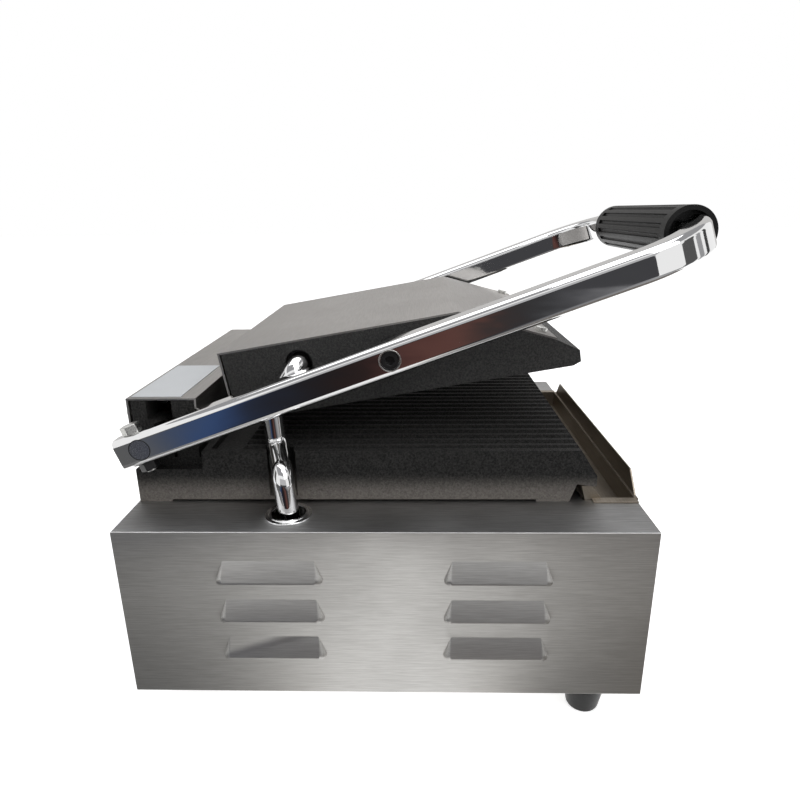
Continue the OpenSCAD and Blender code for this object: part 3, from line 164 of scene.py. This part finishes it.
def cast_iron(name, gloss, least, most, bounce_light_low=None, bounce_light_high=None):
    """Black casting: pebbled skin of coarse and fine grains, with a lighter band of painted bounce light from
    the deck below two heights where they are given.
    """
    iron = new_finish(name, (0.010, 0.010, 0.010), 0.5, Specular_IOR_Level=gloss)
    coarse = pattern(iron, EVEN, 900.0, 4.0, roughness=0.75)
    fine = pattern(iron, EVEN, 2400.0, 2.0)
    tint(iron, coarse, *SKIN_TONES, 0.38, 0.70)
    dull(iron, fine, least, most)
    first = relief(iron, coarse, 0.0006, 1.0)
    relief(iron, fine, 0.0002, 1.0, first)
    # Painted bounce light: below the given heights the colour fades to lighter brownish tones, standing in
    # for light thrown up from the deck
    if bounce_light_low is not None:
        place = node_in(iron, "ShaderNodeTexCoord")
        axes = node_in(iron, "ShaderNodeSeparateXYZ")
        join(iron, place.outputs["Object"], axes.inputs["Vector"])
        bounce_light_band = node_in(iron, "ShaderNodeMapRange", interpolation_type="SMOOTHSTEP")
        set_range(bounce_light_band, bounce_light_low, bounce_light_high, 1.0, 0.0)
        join(iron, axes.outputs["Z"], bounce_light_band.inputs["Value"])
        bounce_lit = two_tones(iron, coarse, *BOUNCE_LIGHT_TONES, 0.30, 0.72)
        blend = node_in(iron, "ShaderNodeMixRGB")
        base = shader_of(iron).inputs["Base Color"]
        join(iron, bounce_light_band.outputs["Result"], blend.inputs["Fac"])
        join(iron, base.links[0].from_socket, blend.inputs["Color1"])
        join(iron, bounce_lit.outputs["Color"], blend.inputs["Color2"])
        join(iron, blend.outputs["Color"], base)
    return iron


def plated(name, colour, least, most):
    """Mirror plating with faint wiped smears."""
    plating = new_finish(name, colour, least, 1.0)
    dull(plating, pattern(plating, (1.0, 0.25, 1.0), 60.0, 5.0), least, most, 0.45, 0.8)
    return plating


def grained(name, colour, roughness, grain_scale, depth, metallic=0.0, spread=0.35, **sockets):
    """A plain material with fine grain, slight colour clouds and uneven gloss."""
    skin = new_finish(name, colour, roughness, metallic, **sockets)
    grain = pattern(skin, EVEN, grain_scale, 3.0)
    cloud = pattern(skin, EVEN, 45.0, 3.0)
    tint(skin, cloud, [c * (1.0 - spread) for c in colour], colour)
    dull(skin, grain, roughness * 0.8, min(1.0, roughness * 1.2))
    relief(skin, grain, depth, 0.5)
    return skin


finishes = {
    "stainless": brushed("brushed_housing_steel", (0.54, 0.53, 0.51), (0.67, 0.66, 0.64), ALONG_Y, 0.34, 0.46,
                         0.85, 0.000006),
    "panel_steel": brushed("brushed_panel_steel", (0.50, 0.49, 0.47), (0.66, 0.65, 0.63), ALONG_X,
                           0.36, 0.46),
    # The deck is a rougher copy of the housing steel with a brighter colour, which paints light onto the deck
    "painted_lit_deck_steel": brushed("brushed_painted_lit_deck_steel", (0.58, 0.58, 0.58), (0.74, 0.74, 0.74), ALONG_Y, 0.66, 0.80,
                          0.92, 0.000006),
    "cover_steel": brushed("satin_cover_steel", (0.30, 0.288, 0.275), (0.39, 0.376, 0.362), ALONG_X,
                           0.30, 0.40),
    "tray": brushed("dark_satin_tray_steel", (0.22, 0.19, 0.155), (0.30, 0.265, 0.22), ALONG_X, 0.30, 0.42),
    "cast_iron": cast_iron("pebbled_cast_iron", 0.45, 0.30, 0.62),
    # The last two numbers bound the band of painted bounce light low on the lower plate
    "seasoned_iron": cast_iron("seasoned_ribbed_iron", 0.20, 0.42, 0.74, 0.137, 0.152),
    "chrome": plated("mirror_chrome", (0.80, 0.80, 0.80), 0.03, 0.10),
    "zinc_steel": grained("zinc_plating", (0.74, 0.74, 0.71), 0.3, 900.0, 0.00002, 1.0),
    "turned_steel": grained("fine_turned_steel", (0.50, 0.50, 0.52), 0.24, 2500.0, 0.000002, 1.0, 0.1),
    "galvanised": grained("galvanised_sheet", (0.52, 0.53, 0.53), 0.42, 160.0, 0.00002, 1.0),
    "black_plastic": grained("moulded_black_phenolic", (0.007, 0.007, 0.007), 0.42, 1500.0, 0.00004,
                             Specular_IOR_Level=0.24),
    "rubber": grained("glossy_black_rubber", (0.008, 0.008, 0.008), 0.36, 700.0, 0.00003,
                      Specular_IOR_Level=0.3),
    "black_steel": grained("black_oxide_steel", (0.020, 0.020, 0.021), 0.34, 1100.0, 0.00002, 0.3),
    "sheath": grained("oxidised_sheath", (0.20, 0.19, 0.18), 0.5, 500.0, 0.00003, 0.8),
    "mineral_wool": grained("mineral_fibre_mat", (0.72, 0.70, 0.63), 0.95, 420.0, 0.0008),
    "ceramic": grained("glazed_ceramic", (0.80, 0.78, 0.72), 0.22, 300.0, 0.00002),
    "brass": grained("bare_brass", (0.66, 0.47, 0.20), 0.3, 900.0, 0.00001, 1.0),
    "copper": grained("bare_copper", (0.62, 0.33, 0.21), 0.32, 900.0, 0.00001, 1.0),
    "spring_steel": grained("oiled_spring_wire", (0.16, 0.115, 0.08), 0.34, 700.0, 0.00001, 0.9),
    "label": grained("blank_matt_foil", (0.56, 0.58, 0.60), 0.5, 1200.0, 0.00001, spread=0.04),
    "green_lens": grained("green_lens", (0.05, 0.42, 0.10), 0.12, 200.0, 0.00001, Transmission_Weight=0.6),
    "amber_lens": grained("amber_lens", (0.85, 0.32, 0.03), 0.12, 200.0, 0.00001, Transmission_Weight=0.6),
    "red_plastic": grained("glossy_red_plastic", (0.55, 0.02, 0.015), 0.2, 600.0, 0.00001, spread=0.1),
}

# Nodes that look different from the rest of their slot
own_finish = {"front_panel": "panel_steel", "rear_panel": "panel_steel", "bottom_plate": "panel_steel",
              "upper_cover": "cover_steel", "hinge_cover": "cover_steel", "lower_plate": "seasoned_iron",
              "tube_bush": "black_steel", "hinge_shaft": "turned_steel"}


def finish_of(node):
    return finishes[own_finish.get(node, slot_of[node])]


for name, cad in nodes.items():
    cad.data.materials.clear()
    cad.data.materials.append(finish_of(name))


# Pieces
def piece_from(bm, name, material, body, smooth_under=35.0):
    """Turns a bmesh into a finished object with smooth faces and sharp edges by angle, riding on a body."""
    for face in bm.faces:
        face.smooth = True
    for edge in bm.edges:
        edge.smooth = len(edge.link_faces) == 2 and edge.calc_face_angle(0.0) < math.radians(smooth_under)
    mesh = bpy.data.meshes.new(name)
    bm.to_mesh(mesh)
    bm.free()
    mesh.materials.append(material)
    piece = bpy.data.objects.new(name, mesh)
    bpy.context.scene.collection.objects.link(piece)
    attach(piece, body)
    return piece


def soften(piece, width, segments=2, angle=35.0):
    """Rounds the sharp edges of a piece and keeps its flat faces flat in the light."""
    rounding = piece.modifiers.new("edge_rounding", "BEVEL")
    rounding.width = width
    rounding.segments = segments
    rounding.limit_method = "ANGLE"
    rounding.angle_limit = math.radians(angle)
    rounding.harden_normals = True
    rounding.miter_outer = "MITER_ARC"
    flatness = piece.modifiers.new("flat_faces", "WEIGHTED_NORMAL")
    flatness.weight = 100
    flatness.keep_sharp = True
    return piece


MERGE_DISTANCE = 0.000002
FLAT_ANGLE = 0.4


def cleaned_copy(node):
    """A merged copy of a construction node's mesh, with its flat faces whole again."""
    bm = bmesh.new()
    bm.from_mesh(nodes[node].data)
    bmesh.ops.remove_doubles(bm, verts=bm.verts, dist=MERGE_DISTANCE)
    bmesh.ops.dissolve_limit(bm, angle_limit=math.radians(FLAT_ANGLE), verts=bm.verts, edges=bm.edges,
                             delimit={"NORMAL"})
    return bm


def map_grain(bm, grain):
    """Lays a map on every face with its first direction along the grain of the brushing."""
    layer = bm.loops.layers.uv.new("grain")
    for face in bm.faces:
        along = grain - face.normal * grain.dot(face.normal)
        if along.length < 0.1:
            along = face.normal.orthogonal()
        along.normalize()
        across = face.normal.cross(along)
        for loop in face.loops:
            loop[layer].uv = (loop.vert.co.dot(along), loop.vert.co.dot(across))


def fold_edges(bm, least_length, radius):
    """Rounds the long folds of a sheet, which catch a bright line of light."""
    folds = [edge for edge in bm.edges if edge.calc_length() > least_length and len(edge.link_faces) == 2
             and edge.is_convex and edge.calc_face_angle(0.0) > math.radians(60.0)]
    bmesh.ops.bevel(bm, geom=folds, offset=radius, offset_type="OFFSET", affect="EDGES", segments=3,
                    profile=0.5, material=-1, clamp_overlap=True)


# The direction of the brushing, and the radius of the long folds
ALL_Y = Vector((0, 1, 0))
ALL_X = Vector((1, 0, 0))
GRAIN_OF = {"base_housing": ALL_Y, "front_panel": ALL_X, "rear_panel": ALL_X, "bottom_plate": ALL_X,
            "upper_cover": ALL_X, "hinge_cover": ALL_X, "drip_tray": ALL_X}
FOLDED = {"base_housing": 0.0010, "upper_cover": 0.0004, "hinge_cover": 0.0005, "drip_tray": 0.0004}
LEAST_FOLD = 0.15
SHEET_ANGLE = 12.0
CURVE_ANGLE = 35.0
# The housing's faces that look upward more than this are its deck, which gets a rougher copy of the housing
# steel in a brighter colour; the brighter colour is painted light
DECK_RISE = 0.7


def dress(node, width):
    """Replaces a construction node by a copy with rounded edges and smooth curved faces."""
    bm = cleaned_copy(node)
    if node in FOLDED:
        fold_edges(bm, LEAST_FOLD, FOLDED[node])
    if node in GRAIN_OF:
        bm.normal_update()
        map_grain(bm, GRAIN_OF[node])
    if node == "base_housing":
        for face in bm.faces:
            face.material_index = 1 if face.normal.z > DECK_RISE else 0
    smooth_under = SHEET_ANGLE if node in GRAIN_OF and node != "base_housing" else CURVE_ANGLE
    piece = piece_from(bm, node + "_finished", finish_of(node), body_of[node], smooth_under)
    if node == "base_housing":
        # The deck's brighter copy of the steel is painted light
        piece.data.materials.append(finishes["painted_lit_deck_steel"])
    soften(piece, width)
    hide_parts(node)
    return piece


edge_roundings = {
    "base_housing": 0.0003, "front_panel": 0.0003, "rear_panel": 0.0003, "bottom_plate": 0.0003,
    "rubber_feet": 0.0012, "lower_plate": 0.0008, "tube_collar": 0.0004, "hinge_cover": 0.0004,
    "drip_tray": 0.0003, "handle_frame": 0.0005, "grip": 0.0008, "hinge_shaft": 0.0006,
    "shaft_bolts": 0.0004, "shaft_nuts": 0.0004, "upper_plate": 0.0010, "upper_cover": 0.0004,
    "cover_screws": 0.0003, "pivot_screws": 0.0004, "pivot_spacers": 0.0004, "conduit_tube": 0.0003,
    "thermostat_knob": 0.0008, "power_rocker": 0.0005, "switch_body": 0.0006, "power_lamp": 0.0003,
    "heat_lamp": 0.0003, "cable_gland": 0.0005, "spring_cups": 0.0004, "tray_runner": 0.0003,
    "hinge_cover_screws": 0.0003, "label_plate": 0.0001,
}
for node, width in edge_roundings.items():
    dress(node, width)


def ring(name, spot, axis, inner, outer, height, material, body, segments=48):
    """A thin ring with softened rims, round an axis through a spot."""
    bm = bmesh.new()
    start = [bm.verts.new((inner, 0, 0)), bm.verts.new((outer, 0, 0)), bm.verts.new((outer, 0, height)),
             bm.verts.new((inner, 0, height))]
    rim = [bm.edges.new((start[i], start[(i + 1) % 4])) for i in range(4)]
    bmesh.ops.spin(bm, geom=start + rim, cent=(0, 0, 0), axis=(0, 0, 1), angle=math.tau, steps=segments,
                   use_merge=True, use_duplicate=False)
    bmesh.ops.recalc_face_normals(bm, faces=bm.faces)
    turn = Vector(axis).to_track_quat("Z", "Y").to_matrix().to_4x4()
    bmesh.ops.transform(bm, matrix=Matrix.Translation(spot) @ turn, verts=bm.verts)
    piece = piece_from(bm, name, material, body)
    return soften(piece, min(height, outer - inner) * 0.3)


# Bright lips round the counterbored pivot screws, and dark grooves round the shaft's ends
LIP_INNER = 0.0056
LIP_OUTER = 0.0063
LIP_HEIGHT = 0.0005
GROOVE_INNER = -0.0001
GROOVE_OUTER = 0.0005
GROOVE_HEIGHT = 0.0003
SUNK = 0.0002
arm_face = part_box("handle_frame")[1][0]
screw_low, screw_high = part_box("pivot_screws")
shaft_low, shaft_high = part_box("hinge_shaft")
screw_y = (screw_low[1] + screw_high[1]) / 2
screw_z = (screw_low[2] + screw_high[2]) / 2
shaft_y = (shaft_low[1] + shaft_high[1]) / 2
shaft_z = (shaft_low[2] + shaft_high[2]) / 2
shaft_r = (shaft_high[2] - shaft_low[2]) / 2
for side, hand in ((-1, "left"), (1, "right")):
    face = arm_face * side - side * SUNK
    ring("pivot_lip_" + hand, (face, screw_y, screw_z), (side, 0, 0), LIP_INNER, LIP_OUTER, LIP_HEIGHT,
         finishes["zinc_steel"], "handle")
    ring("shaft_groove_" + hand, (face, shaft_y, shaft_z), (side, 0, 0), shaft_r + GROOVE_INNER,
         shaft_r + GROOVE_OUTER, GROOVE_HEIGHT, finishes["black_steel"], "handle")


# Floor, cards, light and camera
SKY_LIGHT = 0.42
FLOOR_GLOW = 0.74


def seen_directly(tree):
    """One for camera, glossy and transmission rays, nought for the rays that light the object."""
    path = tree.nodes.new("ShaderNodeLightPath")
    total = path.outputs["Is Camera Ray"]
    for name in ("Is Glossy Ray", "Is Transmission Ray"):
        either = tree.nodes.new("ShaderNodeMath")
        either.operation = "MAXIMUM"
        tree.links.new(total, either.inputs[0])
        tree.links.new(path.outputs[name], either.inputs[1])
        total = either.outputs[0]
    return total


world = bpy.data.worlds.new("studio")
bpy.context.scene.world = world
world.use_nodes = True
studio = world.node_tree
background = studio.nodes["Background"]
background.inputs["Color"].default_value = (1.0, 1.0, 1.0, 1.0)
level = studio.nodes.new("ShaderNodeMapRange")
set_range(level, 0.0, 1.0, SKY_LIGHT, 1.0)
studio.links.new(seen_directly(studio), level.inputs["Value"])
studio.links.new(level.outputs["Result"], background.inputs["Strength"])


def stage_sheet(name, corners, material):
    """A flat sheet of the studio, through its corners."""
    bm = bmesh.new()
    bm.faces.new([bm.verts.new(corner) for corner in corners])
    mesh = bpy.data.meshes.new(name)
    bm.to_mesh(mesh)
    bm.free()
    mesh.materials.append(material)
    sheet = bpy.data.objects.new(name, mesh)
    bpy.context.scene.collection.objects.link(sheet)
    return sheet


pale_floor = new_finish("pale_floor", (0.80, 0.80, 0.80), 0.9, Specular_IOR_Level=0.0)
glow = node_in(pale_floor, "ShaderNodeMapRange")
set_range(glow, 0.0, 1.0, 0.0, FLOOR_GLOW)
join(pale_floor, seen_directly(pale_floor.node_tree), glow.inputs["Value"])
join(pale_floor, glow.outputs["Result"], shader_of(pale_floor).inputs["Emission Strength"])
shader_of(pale_floor).inputs["Emission Color"].default_value = (1.0, 1.0, 1.0, 1.0)
stage_sheet("floor", [(-8, -8, 0), (8, -8, 0), (8, 8, 0), (-8, 8, 0)], pale_floor)


def card_finish(name, colour):
    """A card that shows one tone in reflections and lights nothing."""
    card = bpy.data.materials.new(name)
    card.use_nodes = True
    tree = card.node_tree
    tree.nodes.remove(tree.nodes["Principled BSDF"])
    tone = tree.nodes.new("ShaderNodeEmission")
    tone.inputs["Color"].default_value = (*colour, 1.0)
    tree.links.new(tone.outputs["Emission"], tree.nodes["Material Output"].inputs["Surface"])
    return card


def reflection_card(name, corners, material):
    """A sheet beside the object that nothing but mirrors and brushed metal show."""
    card = stage_sheet(name, corners, material)
    card.visible_camera = False
    card.visible_diffuse = False
    card.visible_shadow = False
    card.visible_transmission = False
    return card


def wall(name, near, far, foot, head, shade):
    """An upright card between two spots on the floor."""
    corners = [(*near, foot), (*far, foot), (*far, head), (*near, head)]
    reflection_card(name, corners, card_finish(name + "_tone", shade))


# Where the flat sides mirror the camera to, the line between the two grounds, and the widest slope of a fan
SIDE_MIRROR = 0.143
BAR_MIRROR = 0.209
GROUND_SPLIT = -0.40
FAN = 0.6


def fan_card(name, near_x, far_x, height, mirror_x, half_width, stops, speckle=0.0):
    """Ground whose tones fan out from where a flat side's mirror puts the camera.

    Each stop is a spot from 0 to 1, which stands for slopes of Y over X from -FAN to FAN, and its tone.
    """
    card = card_finish(name + "_tone", (0.2, 0.2, 0.2))
    place = node_in(card, "ShaderNodeTexCoord")
    axes = node_in(card, "ShaderNodeSeparateXYZ")
    join(card, place.outputs["Object"], axes.inputs["Vector"])
    ahead = node_in(card, "ShaderNodeMath", operation="SUBTRACT")
    ahead.inputs[0].default_value = mirror_x
    join(card, axes.outputs["X"], ahead.inputs[1])
    fan = node_in(card, "ShaderNodeMath", operation="DIVIDE")
    join(card, axes.outputs["Y"], fan.inputs[0])
    join(card, ahead.outputs[0], fan.inputs[1])
    blotch = node_in(card, "ShaderNodeTexNoise", Scale=9.0, Detail=3.0)
    join(card, place.outputs["Object"], blotch.inputs["Vector"])
    shift = node_in(card, "ShaderNodeMath", operation="MULTIPLY_ADD")
    shift.inputs[1].default_value = speckle
    join(card, blotch.outputs["Fac"], shift.inputs[0])
    join(card, fan.outputs[0], shift.inputs[2])
    spread = node_in(card, "ShaderNodeMapRange")
    set_range(spread, -FAN + speckle / 2, FAN + speckle / 2, 0.0, 1.0)
    join(card, shift.outputs[0], spread.inputs["Value"])
    tones = node_in(card, "ShaderNodeValToRGB")
    tones.color_ramp.interpolation = "B_SPLINE"
    while len(tones.color_ramp.elements) < len(stops):
        tones.color_ramp.elements.new(0.5)
    for stop, (spot, tone) in zip(tones.color_ramp.elements, stops):
        stop.position = spot
        stop.color = (*tone, 1.0)
    join(card, spread.outputs["Result"], tones.inputs["Fac"])
    join(card, tones.outputs["Color"], card.node_tree.nodes["Emission"].inputs["Color"])
    reflection_card(name, [(far_x, -half_width, height), (near_x, -half_width, height),
                           (near_x, half_width, height), (far_x, half_width, height)], card)


# The louvred side mirrors the near ground, a bright stretch between two dim ones
fan_card("near_ground", -0.155, GROUND_SPLIT, 0.001, SIDE_MIRROR, 0.8, (
    (0.0, (0.18, 0.16, 0.14)),
    (0.22, (0.22, 0.22, 0.22)),
    (0.38, (0.46, 0.45, 0.44)),
    (0.46, (3.5, 3.42, 3.32)),
    (0.56, (3.2, 3.14, 3.06)),
    (0.66, (0.26, 0.26, 0.26)),
    (1.0, (0.15, 0.15, 0.15))))
# The bar's side mirrors the ground further out, dark with a brown, a navy and some grey patches
fan_card("far_ground", GROUND_SPLIT, -2.2, 0.0012, BAR_MIRROR, 2.4, (
    (0.0, (0.40, 0.40, 0.41)),
    (0.21, (0.20, 0.20, 0.21)),
    (0.30, (0.045, 0.045, 0.05)),
    (0.38, (0.03, 0.03, 0.03)),
    (0.43, (0.13, 0.06, 0.05)),
    (0.51, (0.10, 0.045, 0.04)),
    (0.57, (0.012, 0.010, 0.010)),
    (0.735, (0.02, 0.02, 0.022)),
    (0.785, (0.04, 0.08, 0.20)),
    (0.84, (0.05, 0.07, 0.12)),
    (0.90, (0.12, 0.12, 0.12))), 0.12)
wall("low_wall_behind_camera", (-2.2, -1.5), (-2.2, 1.1), 0.0, 0.28, (0.06, 0.06, 0.065))
wall("wall_behind_camera", (-2.2, -1.5), (-2.2, 1.1), 0.28, 1.3, (0.52, 0.52, 0.53))
wall("wall_beyond", (2.9, -3.0), (2.9, 3.0), 0.0, 2.7, (0.60, 0.59, 0.58))
for hand, y in (("front", -2.4), ("rear", 2.4)):
    wall("broad_upright_" + hand, (-1.1, y), (-0.3, y), 0.0, 1.6, (0.10, 0.10, 0.10))
    wall("grey_upright_" + hand, (-0.1, y), (0.25, y), 0.0, 1.6, (0.35, 0.35, 0.36))
    wall("slim_upright_" + hand, (0.5, y), (0.8, y), 0.0, 1.6, (0.06, 0.06, 0.06))


def level_card(name, x_low, x_high, y_low, y_high, height, shade):
    """A card overhead, parallel to the floor."""
    reflection_card(name, [(x_low, y_low, height), (x_high, y_low, height), (x_high, y_high, height),
                           (x_low, y_high, height)], card_finish(name + "_tone", shade))


level_card("overhead_strip", -0.9, 0.8, -0.60, 0.12, 1.5, (3.0, 3.0, 3.05))
level_card("ceiling_card", -3.0, 3.0, -3.0, 3.0, 2.8, (0.34, 0.34, 0.35))


def soft_light(name, spot, aim, size, power):
    lamp = bpy.data.lights.new(name, "AREA")
    lamp.shape = "RECTANGLE"
    lamp.size, lamp.size_y = size
    lamp.energy = power
    light = bpy.data.objects.new(name, lamp)
    bpy.context.scene.collection.objects.link(light)
    light.location = spot
    light.rotation_euler = (Vector(aim) - Vector(spot)).to_track_quat("-Z", "Y").to_euler()


soft_light("key_light", (-1.2, -1.1, 1.8), (0.0, 0.0, 0.15), (1.2, 1.2), 18.0)
soft_light("top_light", (0.3, 0.5, 2.1), (0.0, 0.0, 0.15), (1.6, 1.6), 16.0)

camera_spot = Vector((-0.4484, -0.0062, 0.3028))
camera_forward = Vector((0.95356, 0.02630, -0.30006))
camera_roll = math.radians(-0.71)
camera_data = bpy.data.cameras.new("camera")
camera_data.lens = 27.2
camera_data.sensor_width = 36.0
camera_data.clip_start = 0.02
camera = bpy.data.objects.new("camera", camera_data)
bpy.context.scene.collection.objects.link(camera)
camera.location = camera_spot
camera_turn = camera_forward.to_track_quat("-Z", "Y").to_matrix() @ Matrix.Rotation(camera_roll, 3, "Z")
camera.rotation_euler = camera_turn.to_euler()
bpy.context.scene.camera = camera

bpy.context.scene.view_settings.view_transform = "Standard"
